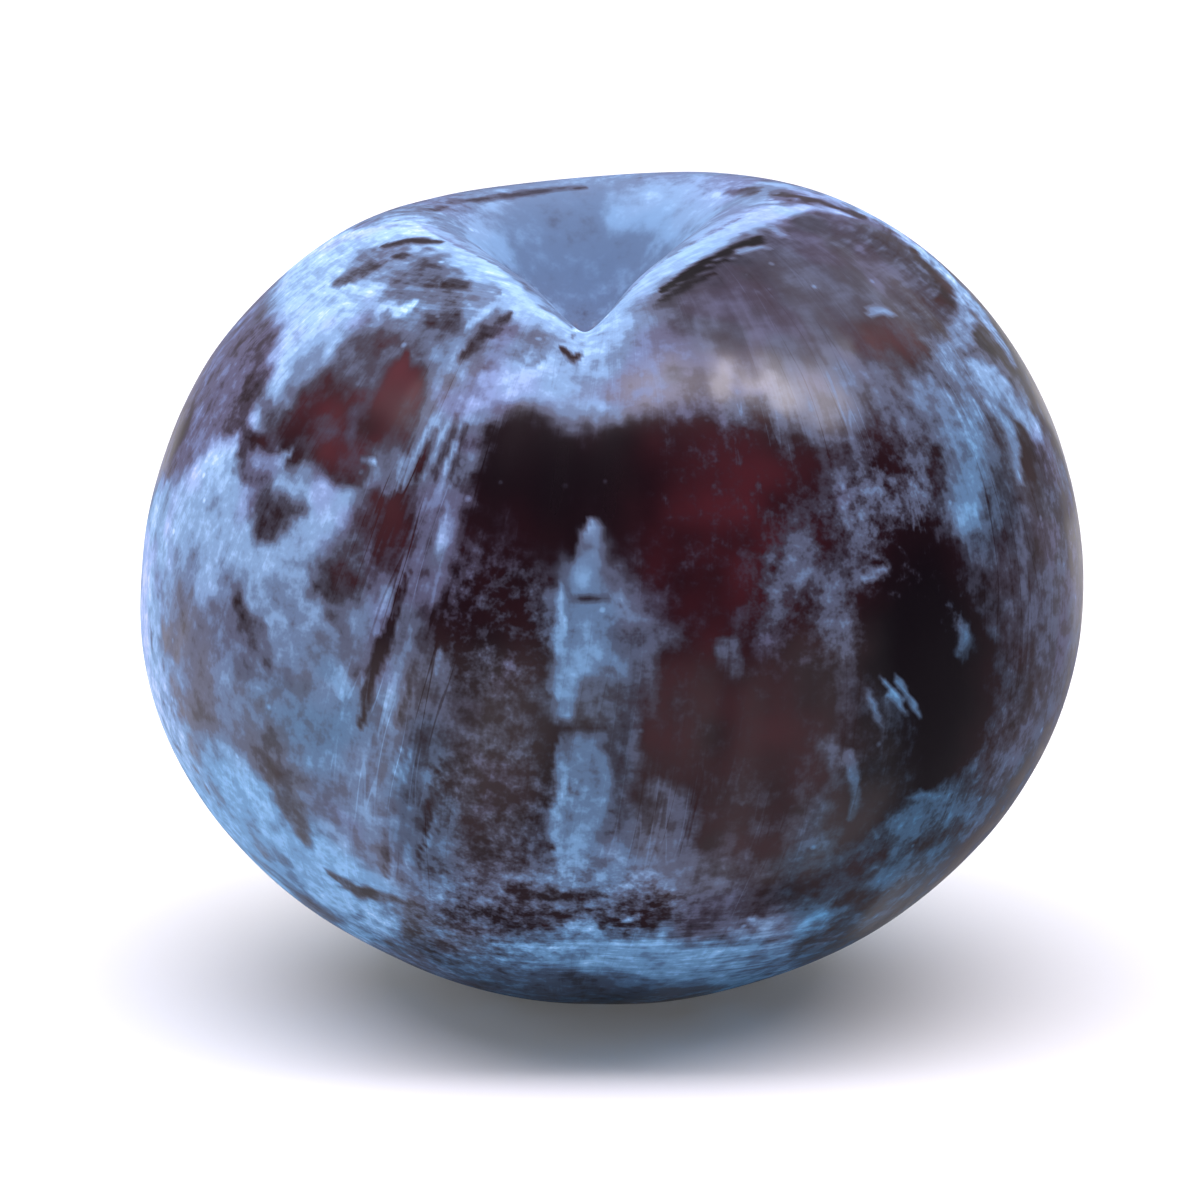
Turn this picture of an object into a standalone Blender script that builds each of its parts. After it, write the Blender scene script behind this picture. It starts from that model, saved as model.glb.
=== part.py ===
"""A whole dark plum, picked without its stem and standing on its blossom end. Metres, +Z up.

The fruit grew in one piece and is one closed solid. Its stem end is at the top, and its suture, the seam
that runs from the stem end to the blossom end, faces -Y. The origin is under the fruit's middle, on the
surface that it rests on.
"""

import bmesh
import bpy
import numpy as np

NAME = "plum"

# The body, measured from where the stem's axis crosses the widest level
LEFT_CHEEK = 0.0325
RIGHT_CHEEK = 0.0343
FRONT_TO_AXIS = 0.0335
CROWN_HEIGHT = 0.0320
BASE_DEPTH = 0.0289
CROWN_FULLNESS = 2.07  # 2 is an ellipse, more is squarer, and less is more pointed
BASE_FULLNESS = 1.88
FULLNESS_FROM = -0.9  # the upward part of the direction at which the fullness starts to rise
FULLNESS_RANGE = 1.3
BLOSSOM_SHIFT = 0.0011  # the blossom end lies this far to the right of the stem's axis

# The right shoulder stands higher and fuller than the left
SHOULDER_RISE = 0.0028
SHOULDER_TURN = 88.0  # degrees round from the suture, towards +X
SHOULDER_FALL = 56.0  # degrees down from the stem end
SHOULDER_SPREAD = 64.0

# Low swells round the back, where the fruit is less even
SWELL = 0.0003
SWELL_WAVES = 3
SWELL_START = 0.6

# The basin that the stem grew from, with the pit that the stem left in its floor
BASIN_DEPTH = 0.0156
BASIN_REACH = 0.0074
BASIN_STEEPNESS = 1.55
BASIN_FLOOR = 0.0016
STEM_PIT_RADIUS = 0.0019
STEM_PIT_DEPTH = 0.0010

# The notch where the suture leaves the basin, a rounded V across and fading down the shoulder
NOTCH_DEPTH = 0.0086
NOTCH_REACH = 0.0039
NOTCH_ROUND = 0.0005
NOTCH_START = 0.0070
NOTCH_END = 35.0
NOTCH_FADE = 5.0

# The shallow furrow that the suture keeps from the shoulder to the blossom end
FURROW_DEPTH = 0.0003
FURROW_REACH = 0.0030
FURROW_START = 0.0060
FURROW_TOP = 30.0
FURROW_BOTTOM = 172.0
FURROW_FADE = 25.0

# The flat spot at the blossom end, and the dimple left in it where the flower sat
FOOT_CUT = 0.0011
FOOT_BLEND = 0.0003
DIMPLE_RADIUS = 0.0026
DIMPLE_DEPTH = 0.0008

# The net of faces, closer together beside the suture and near both ends
MERIDIANS = 88
RINGS = 44
SUTURE_CROWDING = 0.55
END_CROWDING = 0.25

SKIN_COLOUR = (0.070, 0.055, 0.092, 1.0)
SKIN_ROUGHNESS = 0.45
SKIN_METALLIC = 0.0


def ease(t):
    """Goes from 0 to 1 with level ends while t goes from 0 to 1."""
    t = np.clip(t, 0.0, 1.0)
    return t * t * (3.0 - 2.0 * t)


def body_reach(right, back, up):
    """The distance from the middle to the plain body in each unit direction.

    Every upright section is a superellipse, (side / half width)^n + (height / half height)^n = 1, whose n
    eases from BASE_FULLNESS at the blossom end to CROWN_FULLNESS over the widest level.
    """
    cheek = np.where(right > 0.0, RIGHT_CHEEK, LEFT_CHEEK)
    side = np.hypot(right / cheek, back / FRONT_TO_AXIS)
    level = np.where(up > 0.0, up / CROWN_HEIGHT, -up / BASE_DEPTH)
    rise = ease((up - FULLNESS_FROM) / FULLNESS_RANGE)
    fullness = BASE_FULLNESS + (CROWN_FULLNESS - BASE_FULLNESS) * rise
    return (side**fullness + level**fullness) ** (-1.0 / fullness)


def shoulder(right, back, up):
    """A round rise on the right shoulder that falls off as a bell with the angle from its centre."""
    turn, fall = np.radians(SHOULDER_TURN), np.radians(SHOULDER_FALL)
    towards = right * np.sin(fall) * np.sin(turn) - back * np.sin(fall) * np.cos(turn) + up * np.cos(fall)
    angle = np.degrees(np.arccos(np.clip(towards, -1.0, 1.0)))
    return SHOULDER_RISE * np.exp(-((angle / SHOULDER_SPREAD) ** 2))


def notch(across, front, degrees):
    """The V cut by the suture: deepest at across = 0, starting in the basin and fading past NOTCH_END."""
    section = np.exp((NOTCH_ROUND - np.hypot(across, NOTCH_ROUND)) / NOTCH_REACH)
    start = 1.0 - np.exp(-((np.clip(front, 0.0, None) / NOTCH_START) ** 3))
    end = 1.0 / (1.0 + np.exp((degrees - NOTCH_END) / NOTCH_FADE))
    return NOTCH_DEPTH * section * start * end


def furrow(across, front, degrees):
    """A shallow trough along the suture, with the section of a bell."""
    along = ease((degrees - FURROW_TOP) / FURROW_FADE) * ease((FURROW_BOTTOM - degrees) / FURROW_FADE)
    return FURROW_DEPTH * along * ease(front / FURROW_START) * np.exp(-((across / FURROW_REACH) ** 2))


def rest_on_foot(z):
    """Cuts the base level at the foot, with a short curve into it, and puts the cut at z = 0."""
    foot = FOOT_CUT - BASE_DEPTH
    near = np.clip(1.0 - np.abs(z - foot) / FOOT_BLEND, 0.0, None)
    return np.maximum(z, foot) - foot + near**2 * FOOT_BLEND / 4.0


def plum_surface(turn, fall):
    """The skin's points: turn goes round from the suture towards +X, and fall goes down from the stem end."""
    right = np.sin(fall) * np.sin(turn)
    back = -np.sin(fall) * np.cos(turn)
    up = np.cos(fall)
    degrees = np.degrees(fall)

    reach = body_reach(right, back, up) + shoulder(right, back, up)
    swell = SWELL * np.sin(SWELL_WAVES * turn + SWELL_START) * np.sin(fall) ** 2
    reach = reach + swell * ease(0.5 + back)
    across, front = reach * right, -reach * back
    reach = reach - notch(across, front, degrees) - furrow(across, front, degrees)

    x, y, z = reach * right, reach * back, reach * up
    radius = np.hypot(x, y)
    basin = BASIN_DEPTH * np.exp(-((np.hypot(radius, BASIN_FLOOR) / BASIN_REACH) ** BASIN_STEEPNESS))
    stem_pit = STEM_PIT_DEPTH * ease(1.0 - (radius / STEM_PIT_RADIUS) ** 2)
    dimple = DIMPLE_DEPTH * ease(1.0 - (radius / DIMPLE_RADIUS) ** 2)
    x = x + BLOSSOM_SHIFT * np.clip(-z / BASE_DEPTH, 0.0, 1.0) ** 2
    z = np.where(up > 0.0, z - basin - stem_pit, z)
    z = rest_on_foot(z) + np.where(up > 0.0, 0.0, dimple)
    return np.stack([x, y, z], axis=-1)


def skin_material():
    """The dull purple of a dark skin under its pale wax, as one colour."""
    material = bpy.data.materials.new("plum_skin")
    material.use_nodes = True
    shader = material.node_tree.nodes["Principled BSDF"]
    shader.inputs["Base Color"].default_value = SKIN_COLOUR
    shader.inputs["Roughness"].default_value = SKIN_ROUGHNESS
    shader.inputs["Metallic"].default_value = SKIN_METALLIC
    return material


def add_plum(collection):
    """Makes a round ball, crowds its meridians and rings where the form is finest, and shapes it."""
    ball = bmesh.new()
    bmesh.ops.create_uvsphere(ball, u_segments=MERIDIANS, v_segments=RINGS, radius=1.0)
    mesh = bpy.data.meshes.new(NAME)
    ball.to_mesh(mesh)
    ball.free()

    points = np.empty(len(mesh.vertices) * 3)
    mesh.vertices.foreach_get("co", points)
    right, back, up = points.reshape(-1, 3).T
    turn = np.arctan2(right, -back)
    fall = np.arctan2(np.hypot(right, back), up)
    turn = turn - SUTURE_CROWDING * np.sin(turn)
    fall = fall - END_CROWDING * np.sin(2.0 * fall)

    points = plum_surface(turn, fall)
    lowest, highest = points.min(axis=0), points.max(axis=0)
    points[:, :2] -= (lowest[:2] + highest[:2]) / 2.0
    mesh.vertices.foreach_set("co", points.ravel())
    mesh.shade_smooth()
    mesh.materials.append(skin_material())
    collection.objects.link(bpy.data.objects.new(NAME, mesh))


for leftover in list(bpy.data.objects):
    bpy.data.objects.remove(leftover, do_unlink=True)
fruit = bpy.data.collections.new(NAME)
bpy.context.scene.collection.children.link(fruit)
add_plum(fruit)
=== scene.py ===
"""A whole dark plum, picked without its stem and standing on its blossom end, under its pale wax bloom.

Metres, +Z up, with the suture towards -Y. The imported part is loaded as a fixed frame. Its one solid is
replaced by a fine skin of the same form, which carries the bloom and the cork of two small scars.
"""

import bpy
import numpy as np
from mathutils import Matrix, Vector


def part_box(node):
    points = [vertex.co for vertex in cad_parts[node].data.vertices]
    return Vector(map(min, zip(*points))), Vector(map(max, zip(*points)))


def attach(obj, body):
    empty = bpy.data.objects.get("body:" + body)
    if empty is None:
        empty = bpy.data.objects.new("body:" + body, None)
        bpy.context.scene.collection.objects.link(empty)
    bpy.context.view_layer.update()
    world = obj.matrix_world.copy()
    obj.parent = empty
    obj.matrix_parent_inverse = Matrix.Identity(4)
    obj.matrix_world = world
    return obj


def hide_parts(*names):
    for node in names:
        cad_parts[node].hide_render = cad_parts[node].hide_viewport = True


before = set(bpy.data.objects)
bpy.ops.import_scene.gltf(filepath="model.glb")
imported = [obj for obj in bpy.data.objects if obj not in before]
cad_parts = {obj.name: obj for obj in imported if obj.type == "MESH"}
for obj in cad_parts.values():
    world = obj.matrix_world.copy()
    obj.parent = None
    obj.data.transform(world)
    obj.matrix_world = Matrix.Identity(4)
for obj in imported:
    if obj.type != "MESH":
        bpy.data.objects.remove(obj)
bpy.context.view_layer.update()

# The skin
# One closed surface that grew with the flesh under it: a round body with a deep basin at the stem end, a
# fuller right shoulder, and a suture that leaves the basin through a notch and runs down to the blossom end.

MM = 0.001

# The body, measured from where the stem's axis crosses the widest level. A fullness of 2 is an ellipse.
LEFT_CHEEK = 32.5 * MM
RIGHT_CHEEK = 34.3 * MM
FRONT_TO_AXIS = 33.5 * MM
CROWN_HEIGHT = 32.0 * MM
BASE_DEPTH = 28.9 * MM
CROWN_FULLNESS = 2.07
BASE_FULLNESS = 1.88
FULLNESS_FROM = -0.9
FULLNESS_RANGE = 1.3
BLOSSOM_SHIFT = 1.1 * MM

# The right shoulder stands higher and fuller than the left. Angles are in degrees.
SHOULDER_RISE = 2.8 * MM
SHOULDER_TURN = 88.0
SHOULDER_FALL = 56.0
SHOULDER_SPREAD = 64.0

# Three low swells round the back, and random ones all over, except near the foot
SWELL = 0.3 * MM
SWELL_WAVES = 3
SWELL_START = 0.6
BROAD_SWELL = 0.30 * MM
BROAD_GRAIN = 10.0 * MM
SMALL_SWELL = 0.07 * MM
SMALL_GRAIN = 3.6 * MM
SWELLS_FROM = 0.4 * MM
SWELLS_FADE = 3.0 * MM
GRAIN_TURN = np.array([[0.8, -0.36, 0.48], [0.6, 0.48, -0.64], [0.0, 0.8, 0.6]])

# The basin that the stem grew from, with the pit that the stem left in its floor
BASIN_DEPTH = 15.6 * MM
BASIN_REACH = 7.4 * MM
BASIN_STEEPNESS = 1.55
BASIN_FLOOR = 1.6 * MM
STEM_PIT_RADIUS = 1.9 * MM
STEM_PIT_DEPTH = 1.0 * MM

# The notch where the suture leaves the basin, and the shallow furrow that it keeps below
NOTCH_DEPTH = 8.6 * MM
NOTCH_REACH = 3.9 * MM
NOTCH_ROUND = 0.5 * MM
NOTCH_START = 7.0 * MM
NOTCH_END = 35.0
NOTCH_FADE = 5.0
FURROW_DEPTH = 0.3 * MM
FURROW_REACH = 3.0 * MM
FURROW_START = 6.0 * MM
FURROW_TOP = 30.0
FURROW_BOTTOM = 172.0
FURROW_FADE = 25.0

# The flat spot at the blossom end, and the dimple left in it where the flower sat
FOOT_CUT = 1.1 * MM
FOOT_BLEND = 0.3 * MM
DIMPLE_RADIUS = 2.6 * MM
DIMPLE_DEPTH = 0.8 * MM

# The corky scars in the stem pit and in the dimple, and the lumps of their cork
STEM_SCAR_RADIUS = 1.8 * MM
BLOSSOM_SCAR_RADIUS = 0.8 * MM
SCAR_FRAYING = 0.7 * MM
LARGE_LUMP = 0.34 * MM
LARGE_LUMP_GRAIN = 0.55 * MM
SMALL_LUMP = 0.12 * MM
SMALL_LUMP_GRAIN = 0.28 * MM

# The net of faces, closer together beside the suture and at both ends
MERIDIANS = 384
RINGS = 258
SUTURE_CROWDING = 0.5
END_CROWDING = 0.05

# The drum on which strokes through the bloom are laid out, and how far they lean on the left, in radians
MIDDLE_REACH = 33.5 * MM
STROKE_LEAN = 0.45

# Random values repeat after this many grains
LATTICE_SIDE = 64


def ease(t):
    """Goes from 0 to 1 with level ends while t goes from 0 to 1."""
    t = np.clip(t, 0.0, 1.0)
    return t * t * (3.0 - 2.0 * t)


def body_reach(right, back, up):
    """The distance from the middle to the plain body in each unit direction.

    Every upright section is a superellipse, (side / half width)^n + (height / half height)^n = 1, whose n
    eases from BASE_FULLNESS at the blossom end to CROWN_FULLNESS over the widest level.
    """
    cheek = np.where(right > 0.0, RIGHT_CHEEK, LEFT_CHEEK)
    side = np.hypot(right / cheek, back / FRONT_TO_AXIS)
    level = np.where(up > 0.0, up / CROWN_HEIGHT, -up / BASE_DEPTH)
    rise = ease((up - FULLNESS_FROM) / FULLNESS_RANGE)
    fullness = BASE_FULLNESS + (CROWN_FULLNESS - BASE_FULLNESS) * rise
    return (side**fullness + level**fullness) ** (-1.0 / fullness)


def shoulder(right, back, up):
    """A round rise on the right shoulder that falls off as a bell with the angle from its centre."""
    turn, fall = np.radians(SHOULDER_TURN), np.radians(SHOULDER_FALL)
    towards = right * np.sin(fall) * np.sin(turn) - back * np.sin(fall) * np.cos(turn) + up * np.cos(fall)
    angle = np.degrees(np.arccos(np.clip(towards, -1.0, 1.0)))
    return SHOULDER_RISE * np.exp(-((angle / SHOULDER_SPREAD) ** 2))


def notch(across, front, degrees):
    """The V cut by the suture: a rounded point across, rising from the basin and fading down the shoulder."""
    section = np.exp((NOTCH_ROUND - np.hypot(across, NOTCH_ROUND)) / NOTCH_REACH)
    start = 1.0 - np.exp(-((np.clip(front, 0.0, None) / NOTCH_START) ** 3))
    end = 1.0 / (1.0 + np.exp((degrees - NOTCH_END) / NOTCH_FADE))
    return NOTCH_DEPTH * section * start * end


def furrow(across, front, degrees):
    """A shallow trough along the suture, with the section of a bell."""
    along = ease((degrees - FURROW_TOP) / FURROW_FADE) * ease((FURROW_BOTTOM - degrees) / FURROW_FADE)
    return FURROW_DEPTH * along * ease(front / FURROW_START) * np.exp(-((across / FURROW_REACH) ** 2))


def rest_on_foot(z):
    """Cuts the base level at the foot, with a short curve into it, and puts the cut at z = 0."""
    foot = FOOT_CUT - BASE_DEPTH
    near = np.clip(1.0 - np.abs(z - foot) / FOOT_BLEND, 0.0, None)
    return np.maximum(z, foot) - foot + near**2 * FOOT_BLEND / 4.0


def plum_surface(turn, fall):
    """The skin's points: turn goes round from the suture towards +X, and fall goes down from the stem end.

    The body's reach in each direction gains the shoulder and the swells and loses the notch and the furrow.
    The basin, the stem pit, the foot and the dimple then lower or lift the points.
    """
    right = np.sin(fall) * np.sin(turn)
    back = -np.sin(fall) * np.cos(turn)
    up = np.cos(fall)
    degrees = np.degrees(fall)

    reach = body_reach(right, back, up) + shoulder(right, back, up)
    swell = SWELL * np.sin(SWELL_WAVES * turn + SWELL_START) * np.sin(fall) ** 2
    reach = reach + swell * ease(0.5 + back)
    across, front = reach * right, -reach * back
    reach = reach - notch(across, front, degrees) - furrow(across, front, degrees)

    x, y, z = reach * right, reach * back, reach * up
    radius = np.hypot(x, y)
    basin = BASIN_DEPTH * np.exp(-((np.hypot(radius, BASIN_FLOOR) / BASIN_REACH) ** BASIN_STEEPNESS))
    stem_pit = STEM_PIT_DEPTH * ease(1.0 - (radius / STEM_PIT_RADIUS) ** 2)
    dimple = DIMPLE_DEPTH * ease(1.0 - (radius / DIMPLE_RADIUS) ** 2)
    x = x + BLOSSOM_SHIFT * np.clip(-z / BASE_DEPTH, 0.0, 1.0) ** 2
    z = np.where(up > 0.0, z - basin - stem_pit, z)
    z = rest_on_foot(z) + np.where(up > 0.0, 0.0, dimple)
    return np.stack([x, y, z], axis=-1)


def mottle(points, grain, seed):
    """Smooth random values from 0 to 1, one for each point.

    Seeded values lie on a cubic lattice a grain apart, and each point's is eased between the eight round it.
    """
    lattice = np.random.default_rng(seed).random((LATTICE_SIDE,) * 3)
    cell = points / grain
    base = np.floor(cell).astype(int)
    part = ease(cell - base)
    value = 0.0
    for corner in np.ndindex(2, 2, 2):
        at = (base + corner) % LATTICE_SIDE
        share = np.prod(np.where(corner, part, 1.0 - part), axis=-1)
        value = value + share * lattice[at[..., 0], at[..., 1], at[..., 2]]
    return value


def ball_net(name, turns, falls, surface):
    """A closed mesh of a surface that gives a point for each turn round it and each fall down from its top.

    Rings of four-sided faces lie between the ends, and each end is a fan of triangles round one point.
    """
    columns, levels = len(turns), len(falls) - 2
    turn, fall = np.meshgrid(turns, falls[1:-1])
    turn = np.concatenate([turn.ravel(), [0.0, 0.0]])
    fall = np.concatenate([fall.ravel(), falls[[0, -1]]])
    points = surface(turn, fall)

    column, level = np.meshgrid(np.arange(columns), np.arange(levels - 1))
    after = (column + 1) % columns
    quads = np.stack([column, column + columns, after + columns, after], axis=-1)
    quads = quads + (level * columns)[..., None]
    around = np.arange(columns)
    beside = (around + 1) % columns
    top, last = columns * levels, columns * (levels - 1)
    top_fan = np.stack([around * 0 + top, around, beside], axis=-1)
    bottom_fan = np.stack([around * 0 + top + 1, last + beside, last + around], axis=-1)
    faces = quads.reshape(-1, 4).tolist() + top_fan.tolist() + bottom_fan.tolist()

    mesh = bpy.data.meshes.new(name)
    mesh.from_pydata(points.tolist(), [], faces)
    mesh.shade_smooth()
    return mesh, points, turn, fall


def point_values(mesh, name, values):
    """Stores a number, or a vector, for each of a mesh's points."""
    kind, part = ("FLOAT_VECTOR", "vector") if values.ndim == 2 else ("FLOAT", "value")
    mesh.attributes.new(name, kind, "POINT").data.foreach_set(part, values.astype(np.float32).ravel())


def move_points(mesh, points):
    """Puts a mesh's points in new places."""
    mesh.vertices.foreach_set("co", points.astype(np.float32).ravel())


def point_normals(mesh):
    """The unit normals of a mesh's points."""
    normals = np.empty(len(mesh.vertices) * 3)
    mesh.vertex_normals.foreach_get("vector", normals)
    return normals.reshape(-1, 3)


def uneven(points, mesh):
    """Moves points along their normals by broad and small random swells, fading to nothing at the foot.

    The swells' lattice is turned, so that it doesn't line up with the fruit.
    """
    turned = points @ GRAIN_TURN
    broad = BROAD_SWELL * (mottle(turned, BROAD_GRAIN, 81) - 0.5)
    small = SMALL_SWELL * (mottle(turned, SMALL_GRAIN, 82) - 0.5)
    above_foot = ease((points[:, 2:] - SWELLS_FROM) / SWELLS_FADE)
    moved = points + point_normals(mesh) * (broad + small)[:, None] * above_foot
    move_points(mesh, moved)
    return moved


def scar(points, centre, radius, near):
    """How corky each point near the centre is: 1 inside a ragged ring round it, and 0 outside the ring."""
    ragged = 0.5 * radius * (mottle(points, SCAR_FRAYING, 91) - 0.5)
    away = np.hypot(points[:, 0] - centre[0], points[:, 1] - centre[1]) + ragged
    return ease((1.15 * radius - away) / (0.3 * radius)) * near


def corky_relief(points, cork):
    """Raises the cork in large and small lumps, straight up, and sinks it between them."""
    large = LARGE_LUMP * (mottle(points, LARGE_LUMP_GRAIN, 92) - 0.35)
    small = SMALL_LUMP * (mottle(points, SMALL_LUMP_GRAIN, 93) - 0.5)
    points[:, 2] = np.maximum(points[:, 2] + (large + small) * cork, 0.0)


def stroke_places(turn, fall):
    """Places in millimetres on an upright round drum, on which strokes that rubbed the bloom run straight up.

    The drum is wound back by the strokes' lean, which is greatest on the left and nothing on the right.
    """
    lean = STROKE_LEAN * (0.5 - 0.5 * np.sin(turn)) ** 1.5
    down = fall - np.pi / 2.0
    wound = turn + lean * down
    return np.stack([np.sin(wound), -np.cos(wound), -down], axis=-1) * MIDDLE_REACH / MM


even_turns = np.arange(MERIDIANS) * (2.0 * np.pi / MERIDIANS) - np.pi
turns = even_turns - SUTURE_CROWDING * np.sin(even_turns)
even_falls = np.linspace(0.0, np.pi, RINGS + 2)
falls = even_falls - END_CROWDING * np.sin(2.0 * even_falls)
skin_mesh, points, turn, fall = ball_net("plum_skin", turns, falls, plum_surface)
points = uneven(points, skin_mesh)
stem_end, blossom_end = points[-2], points[-1]
stem_scar = scar(points, stem_end, STEM_SCAR_RADIUS, fall < 0.5)
blossom_scar = scar(points, blossom_end, BLOSSOM_SCAR_RADIUS, fall > 2.5)
cork = np.maximum(stem_scar, blossom_scar)
corky_relief(points, cork)
strokes = stroke_places(turn, fall)
point_values(skin_mesh, "strokes", strokes)

# The bloom
# The wax that the skin sweats out lies on it as a pale powder. It is thick where nothing has touched it, and
# twigs, leaves and fingers have rubbed it off in patches, brush strokes and scratches. The same field also
# holds
# painted light and shade: a pale rim highlight on the left edge, a pale highlight band and a glint on the
# right shoulder, a dark tick of painted shade under the notch, dark lines of painted shade on the basin's far
# rim, and a nearly black patch of painted shade low on the right.

# The eye in front that the marks are laid out for. Their places are in millimetres across and up from the
# body's middle, as this eye sees them.
EYE_RISE = np.radians(13.0)
EYE_DISTANCE = 520.0
BODY_MIDDLE = (BASE_DEPTH - FOOT_CUT) / MM
WHOLE_SIDE = (36.0, 40.0)

# Marks fade towards the outline, where less than this part of the normal points at the eye, and over this
# many millimetres at the basin's rim. The basin's own bloom takes over within this many rings of the rim.
GRAZING = 0.13
RIM_EDGE = 0.6
RIM_RINGS = 6.0

# Three grains that fray the marks' edges, each with how far it moves them
FRAYING = ((4.5, 2.2), (1.5, 1.1), (0.6, 0.5))

# Wax is about 0 on bare skin. What it has over this value is halved.
WHOLE_BLOOM = 0.78


def seen_from_front(points):
    """Millimetres across and up of each point, as the eye in front of the suture sees it."""
    x, y, z = points[:, 0] / MM, points[:, 1] / MM, points[:, 2] / MM - BODY_MIDDLE
    away = y * np.cos(EYE_RISE) - z * np.sin(EYE_RISE)
    nearness = EYE_DISTANCE / (EYE_DISTANCE + away)
    return x * nearness, (z * np.cos(EYE_RISE) + y * np.sin(EYE_RISE)) * nearness


def facing_front(mesh):
    """The part of each point's normal that points at the eye: 1 straight at it, and 0 on the outline."""
    return point_normals(mesh) @ np.array([0.0, -np.cos(EYE_RISE), np.sin(EYE_RISE)])


seen_across, seen_up = seen_from_front(points)


def find_rim():
    """The ring of the basin's rim on each meridian: the one that the eye sees highest."""
    return seen_up[:-2].reshape(RINGS, MERIDIANS).argmax(axis=0)


def in_basin(rim):
    """0 outside the rim, easing to 1 a few rings inside it. The last two values are the ends'."""
    inside = ease((rim - np.arange(RINGS)[:, None]) / RIM_RINGS)
    return np.concatenate([inside.ravel(), [1.0, 0.0]])


def behind_rim(rim):
    """1 for the points in the basin that its front rim hides from the eye, easing to 0 where they show."""
    across, up = (seen[:-2].reshape(RINGS, MERIDIANS) for seen in (seen_across, seen_up))
    column = np.arange(MERIDIANS)[np.abs(turns) < np.pi / 2.0]
    rim_line = np.interp(across, across[rim[column], column], up[rim[column], column])
    hidden = (np.arange(RINGS)[:, None] < rim) * ease((rim_line - up + RIM_EDGE) / RIM_EDGE)
    return np.concatenate([hidden.ravel(), [1.0, 0.0]])


def dab(field, at, size, lean, value, soft=0.42):
    """Draws the field towards a value inside an ellipse with a ragged edge.

    at is the middle, size is half the length and half the width, and lean is how many degrees the top of the
    long way leans to the right. The edge is eased over the share soft of the ellipse's radius, both ways.
    """
    lean = np.radians(lean)
    right, up = seen_across + ragged_across - at[0], seen_up + ragged_up - at[1]
    along = right * np.sin(lean) + up * np.cos(lean)
    aside = right * np.cos(lean) - up * np.sin(lean)
    radius = np.hypot(along / size[0], aside / size[1])
    inside = ease((1.0 + soft - radius) / (2.0 * soft)) * front
    field += (value - field) * inside


def dab_whole_side(field, value):
    """Draws the field towards a value wherever the eye in front sees the skin."""
    dab(field, (0.0, 0.0), WHOLE_SIDE, 0, value)


def stroke(field, route, width, value, strength=1.0):
    """Draws the field towards a value along a smooth line through a few points.

    Half its width is the width's half in the middle and about a third of that at both ends, times a worn
    share that wanders. The edge is eased from 0.4 to 1.6 of that half, and frays a quarter as far as a dab's.
    """
    route = np.array(route, float)
    steps = np.linspace(0.0, len(route) - 1.0, 6 * (len(route) - 1) + 1)
    known = np.arange(len(route))
    line = np.stack([np.interp(steps, known, route[:, axis]) for axis in (0, 1)], axis=-1)
    for _ in range(2):
        line[1:-1] = (line[:-2] + 2.0 * line[1:-1] + line[2:]) / 4.0
    across, up = seen_across + 0.25 * ragged_across, seen_up + 0.25 * ragged_up
    nearest = np.full(len(across), np.inf)
    for place in range(len(line) - 1):
        start, run = line[place], line[place + 1] - line[place]
        part = np.clip(((across - start[0]) * run[0] + (up - start[1]) * run[1]) / (run @ run), 0.0, 1.0)
        gap = np.hypot(across - start[0] - part * run[0], up - start[1] - part * run[1])
        at = (place + part) / (len(line) - 1)
        half = width / 2.0 * (0.35 + 0.65 * np.sin(np.pi * at) ** 0.7)
        nearest = np.minimum(nearest, gap / half)
    inside = ease((1.6 - nearest / worn) / 1.2) * front * strength
    field += (value - field) * inside


def frayed(seeds):
    """Random shifts, in millimetres, that fray the marks' edges: the sum of one mottle for each grain."""
    return sum(far * (mottle(points, grain * MM, seed) - 0.5) for (grain, far), seed in zip(FRAYING, seeds))


def cloud(*layers):
    """Clouds over the skin from 0 to 1: a sum of mottles, each with a share, a grain in mm and a seed."""
    return sum(share * mottle(points, grain * MM, seed) for share, grain, seed in layers)


rim = find_rim()
basin = in_basin(rim)
front = ease(facing_front(skin_mesh) / GRAZING) * (1.0 - behind_rim(rim))
ragged_across, ragged_up = frayed((11, 12, 13)), frayed((14, 15, 16))
worn = 0.45 + 1.1 * mottle(points, 0.8 * MM, 17)

# All round, large patches of bloom with rubbed places between them. It is whole in the basin and along the
# left edge, and thin underneath. The paler bloom along the left edge is also a painted rim highlight.
patches = cloud((0.5, 11.0, 3), (0.3, 5.0, 4), (0.2, 2.0, 5))
wax = 0.15 + 0.52 * ease((patches - 0.37) / 0.25)
near_basin = ease((0.62 - fall) / 0.2)
underneath = 0.7 * ease((fall - 1.95) / 0.45)
left_edge_bloom_and_rim_light = 0.8 * ease((-points[:, 0] / MM - 24.0) / 6.0)
for value, share in ((0.62, near_basin), (0.42, underneath), (0.58, left_edge_bloom_and_rim_light)):
    wax += (value - wax) * share
basin_wax = wax.copy()

# The left cheek: bright bloom, a lilac oval where it lies thinner, and a pale line along the edge, which is
# thicker bloom and also a painted rim highlight
dab(wax, (-8.0, 0.0), (34.0, 26.0), 0, 0.46)
dab(wax, (25.0, 0.0), (34.0, 14.0), 0, 0.22, 0.5)
dab(wax, (-29.0, 5.0), (6.0, 4.2), 20, 0.84)
stroke(wax, [(-24.4, 15.0), (-25.0, 13.0), (-26.6, 11.3), (-28.5, 9.0)], 2.6, 0.9)
dab(wax, (-22.3, 2.6), (3.4, 4.0), 90, 0.76)
dab(wax, (-20.2, -0.4), (4.4, 2.8), -10, 0.67)
dab(wax, (-19.8, 7.6), (2.4, 2.6), 50, 0.76)
dab(wax, (-20.0, -6.6), (5.0, 3.6), -20, 0.53)
dab(wax, (-17.4, -12.5), (4.6, 2.8), -10, 0.58)
dab(wax, (-28.2, -5.4), (8.0, 3.1), -5, 0.45, 0.6)
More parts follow.
